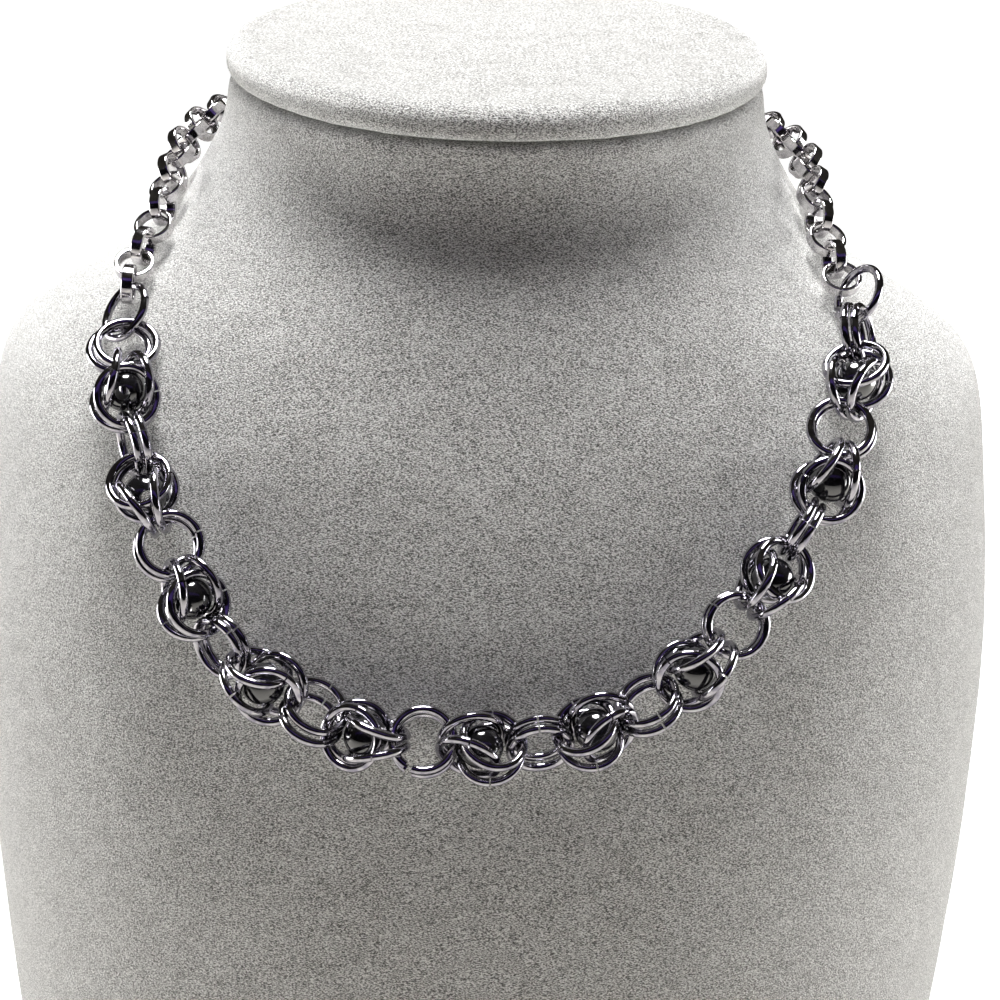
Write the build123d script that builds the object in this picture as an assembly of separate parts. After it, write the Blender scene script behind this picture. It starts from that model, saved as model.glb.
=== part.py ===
from build123d import *
import math
import os

import numpy as np

# Chainmail necklace on a velvet neck bust. Millimetres. X runs to the right as seen from the front,
# Y to the back and Z up. The origin lies in the plane of the bust's flat base, under its neck.

# Neck bust
bust_width = 212.0
body_height = 218.0
front_depth = 83.0
back_depth = 49.0
neck_lean = 11.5
cap_width = 110.6
cap_depth = 103.0
cap_thickness = 7.0
cap_top_round = 4.4
cap_under_round = 2.2
outline_points = 28
section_splits = 3
slope_step = 0.02

# Jump rings: round wire, cut and butted, with a visible seam
wire = 1.6
ring_inside = 9.5
seam_gap = 0.3
open_seam_gap = 1.3

# Beads, drilled through
bead_size = 8.0
bead_hole = 2.6
hole_bevel = 0.3

# Belcher chain: closed round links of flat band
band_outside = 7.8
band_width = 2.2
band_thickness = 0.85
band_round = 0.3

# Clasp: one plain closed catch with an eye at each end
clasp_length = 20.0
clasp_width = 7.4
clasp_thickness = 1.8
clasp_eye = 4.0
clasp_round = 0.4

# Clearances
wire_play = 0.21
band_play = 0.42
seat_gap = 0.35

# Sizes that follow
ring_radius = (ring_inside + wire) / 2
wire_radius = wire / 2
bead_radius = bead_size / 2
band_radius = (band_outside - band_thickness) / 2
band_inside = band_outside / 2 - band_thickness
cage_stand = ring_radius + wire_radius + seat_gap
chain_stand = band_outside / 2 + seat_gap
hooked_thick = band_width / 2
bead_reach = bead_radius + wire_radius + wire_play
side_step = (wire + wire_play) / 2
close_pitch = 2 * (ring_radius + bead_reach)
band_grip = math.sqrt(band_inside ** 2 - (band_width / 2) ** 2)
band_pitch = band_inside + band_grip - band_play

# Sections of the bust body, as shares of its height, half width, front depth, back depth and front depth.
# The rows above a height of 1 carry the neck on until the leaning top cuts it.
bust_sections = [
    # height, half width, front, back, widest line, power of the rounded outline
    (0.000, 0.921, 0.963, 0.542, -0.123, 2.40),
    (0.211, 0.967, 1.000, 0.583, -0.111, 2.40),
    (0.423, 0.999, 0.988, 0.646, -0.086, 2.40),
    (0.610, 1.000, 0.901, 0.750, -0.049, 2.35),
    (0.714, 0.983, 0.821, 0.833, -0.012, 2.30),
    (0.775, 0.967, 0.759, 0.896, 0.012, 2.20),
    (0.812, 0.927, 0.716, 0.927, 0.025, 2.10),
    (0.845, 0.842, 0.679, 0.958, 0.025, 2.00),
    (0.873, 0.742, 0.639, 0.979, 0.012, 2.00),
    (0.906, 0.656, 0.592, 0.990, 0.000, 2.00),
    (0.948, 0.587, 0.558, 1.000, 0.000, 2.00),
    (0.976, 0.551, 0.568, 1.000, 0.000, 2.00),
    (1.000, 0.528, 0.593, 1.000, 0.000, 2.00),
    (1.025, 0.519, 0.612, 1.000, 0.000, 2.00),
    (1.060, 0.515, 0.620, 1.000, 0.000, 2.00),
    (1.160, 0.511, 0.620, 1.000, 0.000, 2.00),
]

# Route of the necklace once round the bust
lowest_turn = 0.4
route_samples = 3000
necklace_route = [
    # degrees about the neck from the front, share of the bust's height
    (-180.0, 1.000), (-140.0, 0.998), (-108.0, 0.991), (-91.0, 0.968), (-73.5, 0.914),
    (-67.3, 0.876), (-58.4, 0.831), (-50.9, 0.767), (-45.6, 0.698), (-38.8, 0.622),
    (-29.1, 0.562), (-17.5, 0.524), (lowest_turn, 0.517), (17.0, 0.530), (28.8, 0.580),
    (39.3, 0.655), (45.9, 0.715), (52.1, 0.782), (61.0, 0.849), (69.6, 0.896),
    (75.2, 0.929), (88.0, 0.960), (104.0, 0.983), (140.0, 0.998), (180.0, 1.000),
]

# Cells from the left end, one bead each: distance from the cell before as a share of the close pitch,
# turn of its rings about the chain, lean of the bead's hole from facing outward, and which way it leans,
# from along the chain
cells = [
    # spacing, ring turn, hole lean, hole swing
    (1.000, 70.0, 36.0, -31.0),
    (0.950, 0.0, 39.0, -52.0),
    (0.950, 50.0, 22.0, 23.0),
    (0.970, 90.0, 80.0, 45.0),
    (0.950, 0.0, 95.0, 45.0),
    (1.120, 60.0, 60.0, 45.0),
    (1.035, 110.0, 24.0, 142.0),
    (0.980, 0.0, 100.0, 45.0),
    (1.140, 90.0, 75.0, 45.0),
    (0.870, 0.0, 110.0, 45.0),
    (0.985, 60.0, 85.0, 45.0),
]
lowest_bead = "bead_06"

# Turn of each pair of joining rings about the chain, from lying flat, left to right
link_turns = [-40.0, 80.0, -10.0, 20.0, -60.0, -5.0, 20.0, 85.0, 5.0, 80.0, 0.0, 20.0]
end_ring_turns = {"end_ring_left": 0.0, "end_ring_right": -60.0}
first_link_turns = {"chain_left": 60.0, "chain_right": -25.0}
end_ring_spacing = 1.7

# Rings whose seam has come open, and where it lies, in degrees about the ring
open_seams = {"link_pair_06": 157.0, "end_ring_right": 0.0}

# Settling of the loose rings
settle_steps = 900
settle_rate = 0.5
most_push = 0.2
search_every = 2
search_margin = 3.0
wire_samples = 32
refine_passes = 2
sag_step = 0.03
sag_share = 0.6
bead_hold = 0.02
held_links = 3
tiny = 1e-9


# Curves and the bust's surface

def unit(v):
    return v / np.linalg.norm(v, axis=-1, keepdims=True)


def smooth_curve(knots, values):
    # Natural cubic through the given points
    count = len(knots)
    step = np.diff(knots)
    slope = np.diff(values) / step
    system = np.eye(count)
    right = np.zeros(count)
    for i in range(1, count - 1):
        system[i, i - 1:i + 2] = step[i - 1], 2 * (step[i - 1] + step[i]), step[i]
        right[i] = 6 * (slope[i] - slope[i - 1])
    bend = np.linalg.solve(system, right)

    def at(x):
        x = np.clip(np.asarray(x, float), knots[0], knots[-1])
        i = np.clip(np.searchsorted(knots, x) - 1, 0, count - 2)
        d = x - knots[i]
        linear = slope[i] - step[i] * (2 * bend[i] + bend[i + 1]) / 6
        cubic = (bend[i + 1] - bend[i]) / (6 * step[i])
        return values[i] + d * linear + d ** 2 * bend[i] / 2 + d ** 3 * cubic

    return at


section_sizes = np.array([body_height, bust_width / 2, -front_depth, back_depth, front_depth, 1.0])
section_rows = np.array(bust_sections) * section_sizes
half_width_at, front_at, back_at, widest_at, power_at = [
    smooth_curve(section_rows[:, 0], section_rows[:, column]) for column in range(1, 6)
]


def bust_level(p):
    # Zero on the bust's side surface, positive outside, as a share of the local radius
    x, y, z = p[..., 0], p[..., 1], p[..., 2]
    widest = widest_at(z)
    power = power_at(z)
    reach = np.where(y < widest, widest - front_at(z), back_at(z) - widest)
    across = np.abs(x) / half_width_at(z)
    along = np.abs(y - widest) / reach
    return (across ** power + along ** power) ** (1 / power) - 1


def bust_gradient(p):
    rises = [bust_level(p + step) - bust_level(p - step) for step in slope_step * np.eye(3)]
    return np.stack(rises, axis=-1) / (2 * slope_step)


def above_bust(p):
    # Distance above the bust's side surface, and the direction straight out of it
    gradient = bust_gradient(p)
    return bust_level(p) / np.linalg.norm(gradient, axis=-1), unit(gradient)


def bust_point(turn, height):
    angle = np.radians(turn)
    widest = widest_at(height)
    power = power_at(height)
    reach = np.where(np.cos(angle) > 0, widest - front_at(height), back_at(height) - widest)
    across = np.abs(np.sin(angle)) / half_width_at(height)
    along = np.abs(np.cos(angle)) / reach
    radius = (across ** power + along ** power) ** (-1 / power)
    return np.stack([radius * np.sin(angle), widest - radius * np.cos(angle), height + 0 * angle], axis=-1)


# The route with stations along it

class Route:
    def __init__(self, stand):
        points = np.array(necklace_route) * (1.0, body_height)
        reach = np.r_[0, np.cumsum(np.hypot(*np.diff(points, axis=0).T))]
        fine = np.linspace(0, reach[-1], route_samples)
        self.turn = smooth_curve(reach, points[:, 0])(fine)
        foot = bust_point(self.turn, smooth_curve(reach, points[:, 1])(fine))
        self.out = unit(bust_gradient(foot))
        self.line = foot + stand * self.out
        self.station = np.r_[0, np.cumsum(np.linalg.norm(np.diff(self.line, axis=0), axis=1))]
        self.along = unit(np.gradient(self.line, axis=0))

    def at(self, station):
        # Point, direction along the chain and direction out of the bust
        point, along, out = [
            np.array([np.interp(station, self.station, part[:, k]) for k in range(3)])
            for part in (self.line, self.along, self.out)
        ]
        along = unit(along)
        out = unit(out - along * (out @ along))
        return point, along, out

    def nearest(self, point):
        return self.station[np.linalg.norm(self.line - point, axis=1).argmin()]


def turned_axis(along, out, turn):
    # Axis of a ring that lies flat at a turn of zero
    angle = math.radians(turn)
    return math.cos(angle) * out + math.sin(angle) * np.cross(along, out)


# Starting places of the loose rings and beads

class Loose:
    # A ring of this radius in wire of this half thickness, or a bead, whose radius is zero
    def __init__(self, node, centre, axis, radius, thick, side=None, lean=0.0, swing=0.0):
        self.node = node
        self.centre = centre
        self.axis = unit(axis)
        self.radius = radius
        self.thick = thick
        self.side = side
        self.lean = lean
        self.swing = swing


def spread_ends(hook):
    # Where the far end of a ring lies beside the bead, for its hooked end at this distance from the bead
    along_part = 2 * bead_reach * hook
    side_part = 2 * bead_reach * side_step
    total = 4 * ring_radius ** 2 - bead_reach ** 2 - hook ** 2 - side_step ** 2
    share = np.clip(total / math.hypot(along_part, side_part), -1, 1)
    angle = math.acos(share) - math.atan2(side_part, along_part)
    return bead_reach * math.cos(angle), bead_reach * math.sin(angle)


def cage(node, centre, along, out, turn, gap_before, gap_after):
    # Two rings hooked to the left lie across the first axis, two hooked to the right across the second
    first = turned_axis(along, out, turn)
    second = np.cross(along, first)
    rings = []
    for heading, axis, gap in ((-1, first, gap_before), (1, second, gap_after)):
        hook = max(gap, close_pitch) / 2 - ring_radius + wire + wire_play
        x, y = spread_ends(hook)
        for side in (1, -1):
            hooked_end = heading * hook * along + side * side_step * axis
            far_end = -heading * x * along + side * y * axis
            slope = unit(far_end - hooked_end)
            across = np.cross(axis, along)
            ring_axis = np.cross(slope, across)
            place = centre + (hooked_end + far_end) / 2
            rings.append(Loose(node, place, ring_axis, ring_radius, wire_radius, side * across))
    return rings


def joining_pair(node, centre, along, out, turn):
    axis = turned_axis(along, out, turn)
    across = np.cross(axis, along)
    return [
        Loose(node, centre + side * side_step * axis, axis, ring_radius, wire_radius, across)
        for side in (1, -1)
    ]


def place_front(route):
    # Beads, cages, joining pairs and end rings along the front of the route
    spacings, turns, leans, swings = zip(*cells)
    gaps = [close_pitch * spacing for spacing in spacings]
    stations = np.cumsum(gaps)
    beads = [f"bead_{k + 1:02d}" for k in range(len(cells))]
    lowest_station = route.station[np.abs(route.turn - lowest_turn).argmin()]
    stations += lowest_station - stations[beads.index(lowest_bead)]
    frames = [route.at(station) for station in stations]
    loose = []
    for k, (point, along, out) in enumerate(frames):
        gap_after = gaps[k + 1] if k + 1 < len(gaps) else close_pitch
        loose.append(Loose(beads[k], point, out, 0.0, bead_radius, along, leans[k], swings[k]))
        loose += cage(beads[k].replace("bead", "cage"), point, along, out, turns[k], gaps[k], gap_after)
    ends = [route.at(stations[0] - close_pitch / 2), route.at(stations[-1] + close_pitch / 2)]
    middles = [ends[0]]
    for (p, along_p, out_p), (q, along_q, out_q) in zip(frames, frames[1:]):
        along = unit(q - p)
        out = out_p + out_q
        middles.append(((p + q) / 2, along, unit(out - along * (out @ along))))
    middles.append(ends[1])
    for k, (point, along, out) in enumerate(middles):
        loose += joining_pair(f"link_pair_{k + 1:02d}", point, along, out, link_turns[k])
    reach = close_pitch / 2 + end_ring_spacing * ring_radius
    end_stations = {"end_ring_left": stations[0] - reach, "end_ring_right": stations[-1] + reach}
    for node, station in end_stations.items():
        # A leaning ring lies lower than one on edge, but no lower than its neighbours hold it
        point, along, out = route.at(station)
        axis = turned_axis(along, out, end_ring_turns[node])
        edge_height = ring_radius * abs(math.sin(math.radians(end_ring_turns[node])))
        stand = max(edge_height + wire_radius + seat_gap, (cage_stand + chain_stand) / 2)
        point = point + (stand - cage_stand) * out
        loose.append(Loose(node, point, axis, ring_radius, wire_radius, np.cross(axis, along)))
    return loose


# Settling: rings push each other and the beads apart and come to rest on the bust

def circle_points(centre, axis, radius, count):
    spare = np.eye(3)[np.abs(axis).argmin(axis=1)]
    first = unit(np.cross(axis, spare))
    second = np.cross(axis, first)
    angle = np.linspace(0, 2 * np.pi, count, endpoint=False)
    turned = np.cos(angle)[None, :, None] * first[:, None] + np.sin(angle)[None, :, None] * second[:, None]
    return centre[:, None] + radius[:, None, None] * turned


def nearest_on_circle(centre, axis, radius, point):
    offset = point - centre
    offset = offset - axis * np.sum(offset * axis, axis=-1, keepdims=True)
    length = np.linalg.norm(offset, axis=-1, keepdims=True) + tiny
    return centre + radius[:, None] * offset / length


def tilt_per_push(arm, push, axis, radius):
    # Turn of a thin ring of unit mass for a push at the end of the arm; a bead doesn't turn
    twist = np.cross(arm, push)
    twist = twist - axis * np.sum(twist * axis, axis=-1, keepdims=True)
    ease = np.where(radius > 0, 2 / np.maximum(radius, tiny) ** 2, 0.0)
    return twist, twist * ease[:, None]


def find_contacts(points, first, second):
    # Nearest samples of each pair of circles, and the nearest that lie elsewhere on the first circle
    a, b = points[first], points[second]
    gap = (a ** 2).sum(-1)[:, :, None] + (b ** 2).sum(-1)[:, None, :] - 2 * a @ b.transpose(0, 2, 1)
    rows = np.arange(len(first))
    count = points.shape[1]
    best = gap.reshape(len(rows), -1).argmin(1)
    away = (np.arange(count)[None] - (best // count)[:, None] + count // 2) % count - count // 2
    close_by = np.abs(away) < count // 6
    gap = np.where(close_by[:, :, None], np.inf, gap)
    other = gap.reshape(len(rows), -1).argmin(1)
    return [a[rows, pick // count] for pick in (best, other)]


def settle(loose, fixed):
    # Moves the loose rings and beads until all are clear; fixed ones only push
    bodies = loose + fixed
    centre = np.array([body.centre for body in bodies])
    axis = np.array([body.axis for body in bodies])
    radius = np.array([body.radius for body in bodies])
    thick = np.array([body.thick for body in bodies])
    free = np.array([1.0] * len(loose) + [0.0] * len(fixed))
    is_bead = (radius == 0)[:, None]
    home = centre.copy()
    apart = np.linalg.norm(centre[:, None] - centre[None], axis=-1)
    near = radius[:, None] + radius[None] + thick[:, None] + thick[None] + search_margin
    movable = free[:, None] + free[None] > 0
    first, second = np.where(np.triu((apart < near) & movable, 1))
    need = thick[first] + thick[second] + wire_play
    contacts = []
    for step in range(settle_steps):
        points = circle_points(centre, axis, radius, wire_samples)
        if step % search_every == 0:
            contacts = find_contacts(points, first, second)
        push = np.zeros_like(centre)
        tilt = np.zeros_like(centre)
        for k, start in enumerate(contacts):
            p = start
            for _ in range(refine_passes):
                q = nearest_on_circle(centre[second], axis[second], radius[second], p)
                p = nearest_on_circle(centre[first], axis[first], radius[first], q)
            contacts[k] = p
            apart = np.linalg.norm(p - q, axis=-1)
            way = (p - q) / (apart[:, None] + tiny)
            twist_a, tilt_a = tilt_per_push(p - centre[first], way, axis[first], radius[first])
            twist_b, tilt_b = tilt_per_push(q - centre[second], way, axis[second], radius[second])
            give = free[first] * (1 + np.sum(twist_a * tilt_a, axis=-1))
            give = give + free[second] * (1 + np.sum(twist_b * tilt_b, axis=-1))
            amount = np.minimum(np.maximum(need - apart, 0) / give, most_push)
            amount_a = (amount * free[first])[:, None]
            amount_b = (amount * free[second])[:, None]
            np.add.at(push, first, amount_a * way)
            np.add.at(tilt, first, amount_a * tilt_a)
            np.add.at(push, second, -amount_b * way)
            np.add.at(tilt, second, -amount_b * tilt_b)
        level, out = above_bust(points)
        rows = np.arange(len(bodies))
        lowest = level.argmin(1)
        out = out[rows, lowest]
        twist, lift_tilt = tilt_per_push(points[rows, lowest] - centre, out, axis, radius)
        lift = np.maximum(thick + seat_gap - level[rows, lowest], 0) * free
        lift = (lift / (1 + np.sum(twist * lift_tilt, axis=-1)))[:, None]
        calm = max(0.0, 1 - step / (sag_share * settle_steps))
        centre = centre + settle_rate * (push + lift * out) - sag_step * calm * free[:, None] * out
        centre = centre + bead_hold * calm * is_bead * (home - centre)
        axis = unit(axis + np.cross(settle_rate * (tilt + lift * lift_tilt), axis))
    for k, body in enumerate(loose):
        body.centre = centre[k]
        body.axis = axis[k]


# The belcher chain, from an end ring to the clasp behind the neck

def chain_links(route, start, stop, first_turn):
    # Each link a quarter turn from the one before, and a slight twist that brings the last one on edge
    count = math.ceil(abs(stop - start) / band_pitch) + 1
    last_turn = first_turn + 90.0 * (count - 1)
    if abs(last_turn % 180.0 - 90.0) > 45.0:
        count += 1
        last_turn += 90.0
    quarter = 90.0 + (90.0 - last_turn % 180.0) / (count - 1)
    links = []
    for k, station in enumerate(np.linspace(start, stop, count)):
        point, along, out = route.at(station)
        links.append((point, turned_axis(along, out, first_turn + quarter * k)))
    return links


# Solids

def place(shape, centre, axis, side=None):
    if side is None:
        plane = Plane(origin=Vector(*centre), z_dir=Vector(*axis))
    else:
        flat_side = side - axis * (side @ axis)
        plane = Plane(origin=Vector(*centre), x_dir=Vector(*flat_side), z_dir=Vector(*axis))
    return plane.location * shape


def jump_ring(gap):
    # The seam is centred on the ring's own X axis
    seam_angle = math.degrees(gap / ring_radius)
    wire_section = Plane.XZ * Pos(ring_radius, 0) * Circle(wire_radius)
    ring = revolve(wire_section, Axis.Z, revolution_arc=360 - seam_angle)
    return Rot(0, 0, seam_angle / 2) * ring


def bead():
    drill = Cylinder(bead_hole / 2, 2 * bead_size)
    ball = Sphere(bead_radius) - drill
    mouths = ball.edges().filter_by(GeomType.CIRCLE)
    return chamfer(mouths, hole_bevel)


def band_link():
    band = Plane.XZ * Pos(band_radius, 0) * RectangleRounded(band_thickness, band_width, band_round)
    return revolve(band, Axis.Z)


def clasp():
    eye_step = (clasp_length - clasp_width) / 2
    plate = extrude(SlotOverall(clasp_length, clasp_width), clasp_thickness / 2, both=True)
    plate = plate - Pos(eye_step, 0) * Cylinder(clasp_eye / 2, 2 * clasp_thickness)
    plate = plate - Pos(-eye_step, 0) * Cylinder(clasp_eye / 2, 2 * clasp_thickness)
    rims = plate.faces().filter_by(Axis.Z).edges()
    return fillet(rims, clasp_round)


def neck_top():
    # The leaning plane that ends the neck, through the neck's front at the body's height
    front = Vector(0, float(front_at(body_height)), body_height)
    return Plane(origin=front).rotated((neck_lean, 0, 0))


def bust_body():
    # Straight walls between closely spaced outlines
    rows = np.arange(len(bust_sections))
    shares = np.linspace(0, rows[-1], section_splits * rows[-1] + 1)
    heights = np.interp(shares, rows, section_rows[:, 0])
    turns = np.linspace(0, 360, outline_points, endpoint=False)
    outlines = []
    for height in heights:
        corners = [Vector(*point) for point in bust_point(turns, height)]
        outlines.append(make_face(Spline(*corners, periodic=True)))
    return split(loft(outlines, ruled=True), bisect_by=neck_top(), keep=Keep.BOTTOM)


def bust_cap():
    # A pad centred on the leaning top of the neck
    pad = extrude(Ellipse(cap_width / 2, cap_depth / 2), cap_thickness)
    top_rim = pad.edges().group_by(Axis.Z)[-1]
    pad = fillet(top_rim, cap_top_round)
    under_rim = pad.edges().group_by(Axis.Z)[0]
    pad = fillet(under_rim, cap_under_round)
    neck_depth = float(back_at(body_height) - front_at(body_height))
    middle = neck_depth / 2 / math.cos(math.radians(neck_lean))
    return neck_top().location * Pos(0, middle, 0) * pad


# Assembly

cage_route = Route(cage_stand)
chain_route = Route(chain_stand)
front = place_front(cage_route)
end_rings = {body.node: body for body in front if body.node in end_ring_turns}

# The chain's first link hangs in the end ring, its last one in the clasp's eye
clasp_station = chain_route.station[-1]
ring_to_band = ring_radius + band_radius - wire_radius - hooked_thick - wire_play
eye_station = (clasp_length - clasp_width) / 2
eye_to_band = math.sqrt((clasp_eye ** 2 - band_width ** 2) / 4) + band_inside - band_play
chain_spans = {
    "chain_left": (
        chain_route.nearest(end_rings["end_ring_left"].centre) - ring_to_band,
        eye_station + eye_to_band,
    ),
    "chain_right": (
        chain_route.nearest(end_rings["end_ring_right"].centre) + ring_to_band,
        clasp_station - eye_station - eye_to_band,
    ),
}
chains = {
    node: chain_links(chain_route, start, stop, first_link_turns[node])
    for node, (start, stop) in chain_spans.items()
}
held = [
    Loose(node, centre, axis, band_radius, hooked_thick)
    for node, links in chains.items() for centre, axis in links[:held_links]
]
settle(front, held)

nodes = {"bust_body": bust_body(), "bust_neck_cap": bust_cap()}
closed_ring = jump_ring(seam_gap)
gaping_ring = jump_ring(open_seam_gap)
round_bead = bead()
for body in front:
    if body.radius == 0:
        lean, swing = math.radians(body.lean), math.radians(body.swing)
        sideways = math.cos(swing) * body.side + math.sin(swing) * np.cross(body.side, body.axis)
        hole = math.cos(lean) * body.axis + math.sin(lean) * sideways
        nodes[body.node] = place(round_bead, body.centre, hole)
        continue
    seam_turn = open_seams.get(body.node)
    shape = closed_ring if seam_turn is None else Rot(0, 0, seam_turn) * gaping_ring
    nodes.setdefault(body.node, []).append(place(shape, body.centre, body.axis, body.side))
link = band_link()
for node, links in chains.items():
    nodes[node] = [place(link, centre, axis) for centre, axis in links]
clasp_point, clasp_along, clasp_out = chain_route.at(0.0)
nodes["clasp"] = place(clasp(), clasp_point, clasp_out, clasp_along)

os.makedirs("parts", exist_ok=True)
for node, shape in nodes.items():
    whole = Compound(children=shape) if isinstance(shape, list) else shape
    export_step(whole, f"parts/{node}.step")
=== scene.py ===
import math

import bmesh
import bpy
from mathutils import Matrix, Vector, noise


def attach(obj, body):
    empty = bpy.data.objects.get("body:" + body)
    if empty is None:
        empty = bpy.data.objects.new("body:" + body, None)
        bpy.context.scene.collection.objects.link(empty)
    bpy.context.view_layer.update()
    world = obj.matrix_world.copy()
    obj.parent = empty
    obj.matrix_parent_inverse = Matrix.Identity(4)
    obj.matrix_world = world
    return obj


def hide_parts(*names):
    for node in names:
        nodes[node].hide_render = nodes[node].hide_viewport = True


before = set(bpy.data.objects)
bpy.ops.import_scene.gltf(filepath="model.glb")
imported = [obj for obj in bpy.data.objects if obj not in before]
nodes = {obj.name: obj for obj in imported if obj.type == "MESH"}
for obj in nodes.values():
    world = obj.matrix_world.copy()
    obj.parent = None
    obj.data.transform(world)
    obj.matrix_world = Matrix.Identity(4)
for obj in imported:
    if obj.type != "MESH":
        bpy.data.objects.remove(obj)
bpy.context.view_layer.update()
print("frame loaded:", len(nodes), "nodes")

mm = 0.001


# small helpers

def toLinear(hexColour):
    # sRGB hex to linear RGBA
    parts = [int(hexColour[k:k + 2], 16) / 255 for k in (1, 3, 5)]
    return [c / 12.92 if c <= 0.04045 else ((c + 0.055) / 1.055) ** 2.4 for c in parts] + [1.0]


def addNode(tree, kind, settings=None, **links):
    # one node with its settings, its plain inputs and its links
    node = tree.nodes.new(kind)
    for name, value in (settings or {}).items():
        setattr(node, name, value)
    for name, value in links.items():
        socket = node.inputs[int(name[1:])] if name[1:].isdigit() else node.inputs[name.replace("_", " ")]
        if isinstance(value, bpy.types.NodeSocket):
            tree.links.new(value, socket)
        else:
            socket.default_value = value
    return node


def startMaterial(name):
    material = bpy.data.materials.new(name)
    material.use_nodes = True
    tree = material.node_tree
    tree.nodes.clear()
    return material, tree


def setRamp(ramp, stops, colours):
    # colours that blend from stop to stop
    while len(ramp.elements) < len(stops):
        ramp.elements.new(0.5)
    for element, stop, colour in zip(ramp.elements, stops, colours):
        element.position = stop
        element.color = toLinear(colour)


def patternScale(size):
    # noise scale whose features are this many millimetres
    return 1.0 / (size * mm)


def dress(names, material):
    for name in names:
        nodes[name].data.materials.clear()
        nodes[name].data.materials.append(material)


# camera at the photograph's height and angle, looking slightly down at the front of the necklace

camera = {
    "target": (0.0, -61.5, 153.75),  # mm, the middle of the view on the necklace's plane
    "distance": 372.0,  # mm
    "elevation": 16.0,  # degrees
    "roll": 1.4,  # degrees, the photograph is not quite level
    "lens": 72.0,
    "sensor": 36.0,
    "shiftX": 0.014,
    "clip": (0.01, 20.0),  # m
}


def makeCamera(cam):
    data = bpy.data.cameras.new("camera")
    data.lens = cam["lens"]
    data.sensor_width = cam["sensor"]
    data.shift_x = cam["shiftX"]
    data.clip_start, data.clip_end = cam["clip"]
    obj = bpy.data.objects.new("camera", data)
    tilt = math.radians(cam["elevation"])
    back = Vector((0.0, -math.cos(tilt), math.sin(tilt)))
    obj.location = (Vector(cam["target"]) + back * cam["distance"]) * mm
    roll = Matrix.Rotation(math.radians(cam["roll"]), 3, "Z")
    obj.rotation_euler = (Matrix.Rotation(math.radians(90.0) - tilt, 3, "X") @ roll).to_euler()
    bpy.context.scene.collection.objects.link(obj)
    bpy.context.scene.camera = obj


makeCamera(camera)
print("camera placed")


# polished stainless steel: drawn round wire, tumbled bright; a mirror that is nearly black where it sees
# the dark and white where it sees the light, with a faint violet cast

wireSteel = {
    "colour": "#b4b2b6",
    "darkColour": "#8b8894",
    "roughness": 0.06,
    "scuffedRoughness": 0.16,
    "scuffSize": 1.6,  # mm, smears between the brightest patches
    "scuffRange": (0.35, 0.75),  # pattern values from the polished finish to the scuffed one
    "tintRange": (0.35, 0.6),  # and from the dark colour to the light one
    "drawLines": 0.12,  # mm, die lines along the wire
    "lineDepth": 0.0015,  # mm
    "lineStrength": 0.25,
}


def makeSteel(name, steel):
    material, tree = startMaterial(name)
    place = addNode(tree, "ShaderNodeTexCoord").outputs["Object"]
    smears = addNode(
        tree, "ShaderNodeTexNoise", Vector=place, Scale=patternScale(steel["scuffSize"]), Detail=3.0,
    ).outputs["Fac"]
    lines = addNode(
        tree, "ShaderNodeTexNoise", Vector=place, Scale=patternScale(steel["drawLines"]), Detail=1.0,
    ).outputs["Fac"]
    polished, scuffed = steel["scuffRange"]
    rough = addNode(
        tree, "ShaderNodeMapRange", Value=smears, From_Min=polished, From_Max=scuffed,
        To_Min=steel["roughness"], To_Max=steel["scuffedRoughness"],
    ).outputs["Result"]
    tint = addNode(tree, "ShaderNodeValToRGB", Fac=smears)
    setRamp(tint.color_ramp, steel["tintRange"], (steel["darkColour"], steel["colour"]))
    bump = addNode(
        tree, "ShaderNodeBump", Height=lines, Strength=steel["lineStrength"],
        Distance=steel["lineDepth"] * mm,
    )
    shader = addNode(
        tree, "ShaderNodeBsdfPrincipled", Base_Color=tint.outputs["Color"], Metallic=1.0, Roughness=rough,
        Normal=bump.outputs["Normal"],
    )
    addNode(tree, "ShaderNodeOutputMaterial", Surface=shader.outputs["BSDF"])
    return material


ringNames = [name for name in nodes if name.startswith(("cage", "link_pair", "end_ring"))]
dress(ringNames, makeSteel("polishedSteelWire", wireSteel))
chainSteel = dict(wireSteel, colour="#d2d0d0", darkColour="#aeabb0", roughness=0.09, scuffSize=2.2)
dress(["chain_left", "chain_right", "clasp"], makeSteel("polishedSteelBand", chainSteel))
print("steel done")


# hematite beads: tumbled and polished stone, near black with a grey metallic gloss

beadStone = {
    "colour": "#0b0b0d",
    "veinColour": "#1d1c20",
    "roughness": 0.1,
    "ior": 2.0,
    "grain": 1.2,  # mm
    "veinRange": (0.4, 0.75),
    "boreRoughness": 0.8,  # the drilled bore is left unpolished
    "boreReach": 2.6,  # mm, how far a spot looks for the wall opposite
    "boreRange": (0.3, 0.8),  # openness in the bore and out on the ball
}


def makeStone(name, stone):
    material, tree = startMaterial(name)
    place = addNode(tree, "ShaderNodeTexCoord").outputs["Object"]
    grain = addNode(
        tree, "ShaderNodeTexNoise", Vector=place, Scale=patternScale(stone["grain"]), Detail=4.0,
    ).outputs["Fac"]
    tint = addNode(tree, "ShaderNodeValToRGB", Fac=grain)
    setRamp(tint.color_ramp, stone["veinRange"], (stone["colour"], stone["veinColour"]))
    openness = addNode(
        tree, "ShaderNodeAmbientOcclusion", {"only_local": True, "samples": 8},
        Distance=stone["boreReach"] * mm,
    ).outputs["AO"]
    inside, outside = stone["boreRange"]
    rough = addNode(
        tree, "ShaderNodeMapRange", Value=openness, From_Min=inside, From_Max=outside,
        To_Min=stone["boreRoughness"], To_Max=stone["roughness"],
    ).outputs["Result"]
    shader = addNode(
        tree, "ShaderNodeBsdfPrincipled", Base_Color=tint.outputs["Color"], IOR=stone["ior"], Roughness=rough,
    )
    addNode(tree, "ShaderNodeOutputMaterial", Surface=shader.outputs["BSDF"])
    return material


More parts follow.
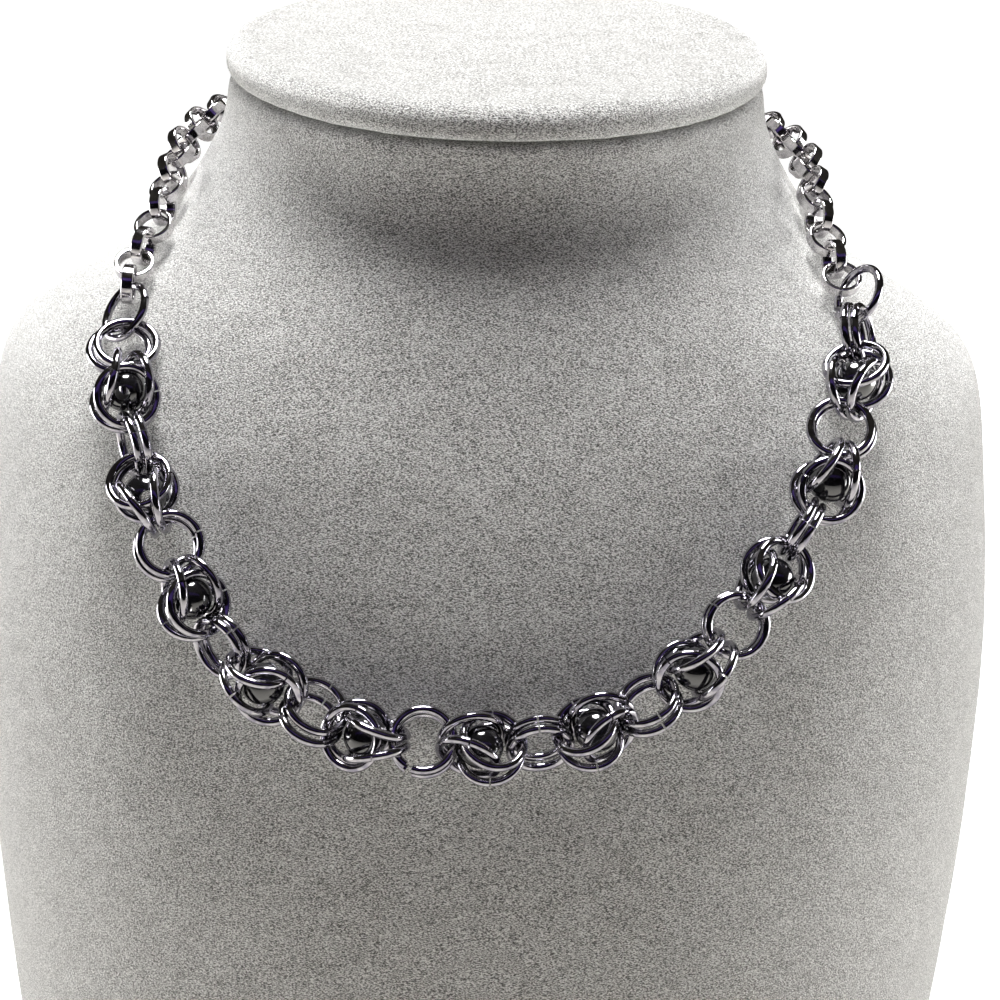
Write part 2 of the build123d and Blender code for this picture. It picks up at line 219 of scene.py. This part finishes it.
dress([name for name in nodes if name.startswith("bead")], makeStone("polishedHematite", beadStone))
print("beads done")


# short-pile velvet stretched over the bust: brushed nap that scatters light at the edges and shows fine
# dark flecks where the pile leans away, in slanting wisps left by the brush

velvet = {
    "colour": "#f4f3f0",
    "middleColour": "#b3b2ae",
    "fleckColour": "#4c4b46",
    "stops": (0.385, 0.49, 0.595),  # pattern values of the flecks, the middle colour and the clear cloth
    "sheen": 0.6,
    "sheenRoughness": 0.45,
    "roughness": 0.95,
    "pile": 0.2,  # mm, flecks of the nap, drawn coarser than the fibres so that they show
    "wisp": 3.6,  # mm, brushed streaks
    "wispShare": 0.08,  # of the pattern, and the flecks are the rest
    "brushAngle": 30.0,  # degrees, slant of the streaks up to the right
    "brushStretch": 0.5,  # streaks are twice as long as wide
    "fineShare": 0.6,  # of finer noise in flecks and streaks
    "pileDepth": 0.4,  # mm
}


def makeVelvet(name, cloth):
    material, tree = startMaterial(name)
    place = addNode(tree, "ShaderNodeTexCoord").outputs["Object"]
    slanted = addNode(
        tree, "ShaderNodeMapping", Vector=place, Rotation=(0.0, math.radians(cloth["brushAngle"]), 0.0),
        Scale=(cloth["brushStretch"], 1.0, 1.0),
    ).outputs["Vector"]
    pile = addNode(
        tree, "ShaderNodeTexNoise", Vector=slanted, Scale=patternScale(cloth["pile"]), Detail=2.0,
        Roughness=cloth["fineShare"],
    ).outputs["Fac"]
    wisps = addNode(
        tree, "ShaderNodeTexNoise", Vector=slanted, Scale=patternScale(cloth["wisp"]), Detail=4.0,
        Roughness=cloth["fineShare"],
    ).outputs["Fac"]
    fine = addNode(
        tree, "ShaderNodeMath", {"operation": "MULTIPLY"}, _0=pile, _1=1.0 - cloth["wispShare"],
    ).outputs[0]
    mottle = addNode(
        tree, "ShaderNodeMath", {"operation": "MULTIPLY_ADD"}, _0=wisps, _1=cloth["wispShare"], _2=fine,
    ).outputs[0]
    tint = addNode(tree, "ShaderNodeValToRGB", Fac=mottle)
    setRamp(tint.color_ramp, cloth["stops"], (cloth["fleckColour"], cloth["middleColour"], cloth["colour"]))
    bump = addNode(tree, "ShaderNodeBump", Height=mottle, Strength=1.0, Distance=cloth["pileDepth"] * mm)
    shader = addNode(
        tree, "ShaderNodeBsdfPrincipled", Base_Color=tint.outputs["Color"], Roughness=cloth["roughness"],
        Sheen_Weight=cloth["sheen"], Sheen_Roughness=cloth["sheenRoughness"], Normal=bump.outputs["Normal"],
    )
    addNode(tree, "ShaderNodeOutputMaterial", Surface=shader.outputs["BSDF"])
    return material


velvetCloth = makeVelvet("ivoryVelvet", velvet)

# velvet covers over the bust's core and over its top board: the same forms with rounded edges and the slight
# unevenness of cloth glued over foam
covers = {
    # cell, dip and dipSize in mm, rounding in passes
    "velvetBody": {
        "node": "bust_body", "slot": "velvet_body",
        "cell": 1.5, "rounding": 8, "dip": 0.45, "dipSize": 24.0,
    },
    "velvetTop": {
        "node": "bust_neck_cap", "slot": "velvet_cap",
        "cell": 1.0, "rounding": 4, "dip": 0.4, "dipSize": 17.0,
    },
}
mergeReach = 0.01  # mm
restHeight = 2.0  # mm, below which the cloth lies on the floor undipped


def makeCover(name, cover):
    mesh = bmesh.new()
    mesh.from_mesh(nodes[cover["node"]].data)
    bmesh.ops.remove_doubles(mesh, verts=mesh.verts, dist=mergeReach * mm)
    core = bpy.data.meshes.new(name + "Core")
    mesh.to_mesh(core)
    mesh.free()
    obj = bpy.data.objects.new(name, core)
    bpy.context.scene.collection.objects.link(obj)
    remesh = obj.modifiers.new("evenCells", "REMESH")
    remesh.mode = "VOXEL"
    remesh.voxel_size = cover["cell"] * mm
    smooth = obj.modifiers.new("softEdges", "SMOOTH")
    smooth.iterations = cover["rounding"]
    finished = bpy.data.meshes.new_from_object(obj.evaluated_get(bpy.context.evaluated_depsgraph_get()))
    obj.modifiers.clear()
    obj.data = finished
    finished.name = name
    mesh = bmesh.new()
    mesh.from_mesh(finished)
    mesh.normal_update()
    for vert in mesh.verts:
        # cloth dips inward only
        if vert.co.z > restHeight * mm:
            hollow = 0.5 + 0.5 * noise.noise(vert.co / (cover["dipSize"] * mm))
            vert.co -= vert.normal * cover["dip"] * mm * max(0.0, min(1.0, hollow))
    for face in mesh.faces:
        face.smooth = True
    mesh.to_mesh(finished)
    mesh.free()
    finished.materials.clear()
    finished.materials.append(velvetCloth)
    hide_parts(cover["node"])
    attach(obj, "root")
    print(name, len(finished.polygons), "faces")


for name, cover in covers.items():
    makeCover(name, cover)
print("velvet done")


# plain white floor in a white tent that only the camera sees, and soft lamps above and at both sides; a pale
# table, a dark card behind the camera and a violet one above it are seen by light and reflections alone

studio = {
    # sizes and places in m
    "floorWidth": 12.0,
    "floorColour": "#ffffff",
    "floorGlow": 1.05,  # as white as the tent, so that it has no horizon
    "footGlow": 0.25,  # about the foot of the bust, so that its soft shadow shows
    "footReach": (0.16, 0.42),
    "tentRadius": 6.0,
    "tentGlow": 1.1,
    "tableWidth": 3.0,
    "tablePlace": (0.0, 0.0, -0.002),
    "tableColour": "#e6e3dc",
    "cardWidth": 2.4,
    "darkHeight": 0.6,
    "darkPlace": (0.0, -0.75, 0.30),
    "darkColour": "#08070a",
    "violetHeight": 0.3,
    "violetPlace": (0.0, -0.75, 0.75),
    "violetColour": "#45366c",
    "violetGlow": 0.7,
    "mattRoughness": 0.9,
    "mattShine": 0.1,
    "fillColour": "#efe6d4",
    "fill": 0.035,
}


def makeStage(name, mesh, colour, glow, seen, mirrored, footGlow=None):
    # seen by the camera, or mirrored and lighting the object, or both
    data = bpy.data.meshes.new(name)
    mesh.to_mesh(data)
    mesh.free()
    obj = bpy.data.objects.new(name, data)
    bpy.context.scene.collection.objects.link(obj)
    material, tree = startMaterial(name + "Paint")
    if footGlow is not None:
        place = addNode(tree, "ShaderNodeTexCoord").outputs["Object"]
        reach = addNode(tree, "ShaderNodeVectorMath", {"operation": "LENGTH"}, Vector=place).outputs["Value"]
        nearEnd, farEnd = studio["footReach"]
        glow = addNode(
            tree, "ShaderNodeMapRange", Value=reach, From_Min=nearEnd, From_Max=farEnd,
            To_Min=footGlow, To_Max=glow,
        ).outputs["Result"]
    shader = addNode(
        tree, "ShaderNodeBsdfPrincipled", Base_Color=toLinear(colour), Roughness=studio["mattRoughness"],
        Specular_IOR_Level=studio["mattShine"], Emission_Color=toLinear(colour), Emission_Strength=glow,
    )
    addNode(tree, "ShaderNodeOutputMaterial", Surface=shader.outputs["BSDF"])
    data.materials.append(material)
    obj.visible_camera = seen
    for ray in ("visible_diffuse", "visible_glossy", "visible_transmission", "visible_shadow"):
        setattr(obj, ray, mirrored)


def flatSheet(width, height, turn, place):
    mesh = bmesh.new()
    bmesh.ops.create_grid(mesh, x_segments=1, y_segments=1, size=0.5)
    bmesh.ops.scale(mesh, vec=(width, height, 1.0), verts=mesh.verts)
    bmesh.ops.rotate(mesh, matrix=Matrix.Rotation(math.radians(turn), 3, "X"), verts=mesh.verts)
    bmesh.ops.translate(mesh, vec=place, verts=mesh.verts)
    return mesh


floor = flatSheet(studio["floorWidth"], studio["floorWidth"], 0.0, (0.0, 0.0, 0.0))
makeStage(
    "floor", floor, studio["floorColour"], studio["floorGlow"], seen=True, mirrored=False,
    footGlow=studio["footGlow"],
)
table = flatSheet(studio["tableWidth"], studio["tableWidth"], 0.0, studio["tablePlace"])
makeStage("table", table, studio["tableColour"], 0.0, seen=False, mirrored=True)
darkCard = flatSheet(studio["cardWidth"], studio["darkHeight"], 90.0, studio["darkPlace"])
makeStage("darkCard", darkCard, studio["darkColour"], 0.0, seen=False, mirrored=True)
violetCard = flatSheet(studio["cardWidth"], studio["violetHeight"], 90.0, studio["violetPlace"])
makeStage("violetCard", violetCard, studio["violetColour"], studio["violetGlow"], seen=False, mirrored=True)
tent = bmesh.new()
bmesh.ops.create_icosphere(tent, subdivisions=3, radius=studio["tentRadius"])
makeStage("whiteTent", tent, studio["floorColour"], studio["tentGlow"], seen=True, mirrored=False)

bpy.context.scene.view_settings.view_transform = "Standard"
world = bpy.data.worlds.new("studio")
bpy.context.scene.world = world
world.use_nodes = True
world.node_tree.nodes.clear()
backdrop = addNode(
    world.node_tree, "ShaderNodeBackground", Color=toLinear(studio["fillColour"]), Strength=studio["fill"],
)
addNode(world.node_tree, "ShaderNodeOutputWorld", Surface=backdrop.outputs["Background"])

lamps = [
    # size in m, power in W, place and aim in mm
    {
        "name": "topLight", "size": 0.32, "power": 10.4,
        "place": (-30.0, 55.0, 820.0), "aim": (0.0, -20.0, 180.0),
    },
    {
        "name": "leftLight", "size": 0.45, "power": 6.1,
        "place": (-640.0, 60.0, 80.0), "aim": (0.0, 0.0, 90.0),
    },
    {
        "name": "rightLight", "size": 0.45, "power": 6.3,
        "place": (640.0, 60.0, 80.0), "aim": (0.0, 0.0, 90.0),
    },
]


def makeLamp(lamp):
    data = bpy.data.lights.new(lamp["name"], "AREA")
    data.shape = "DISK"
    data.size = lamp["size"]
    data.energy = lamp["power"]
    obj = bpy.data.objects.new(lamp["name"], data)
    obj.location = Vector(lamp["place"]) * mm
    towards = (Vector(lamp["aim"]) - Vector(lamp["place"])) * mm
    obj.rotation_euler = towards.to_track_quat("-Z", "Y").to_euler()
    bpy.context.scene.collection.objects.link(obj)


for lamp in lamps:
    makeLamp(lamp)
print("stage and light done")

bpy.context.view_layer.update()
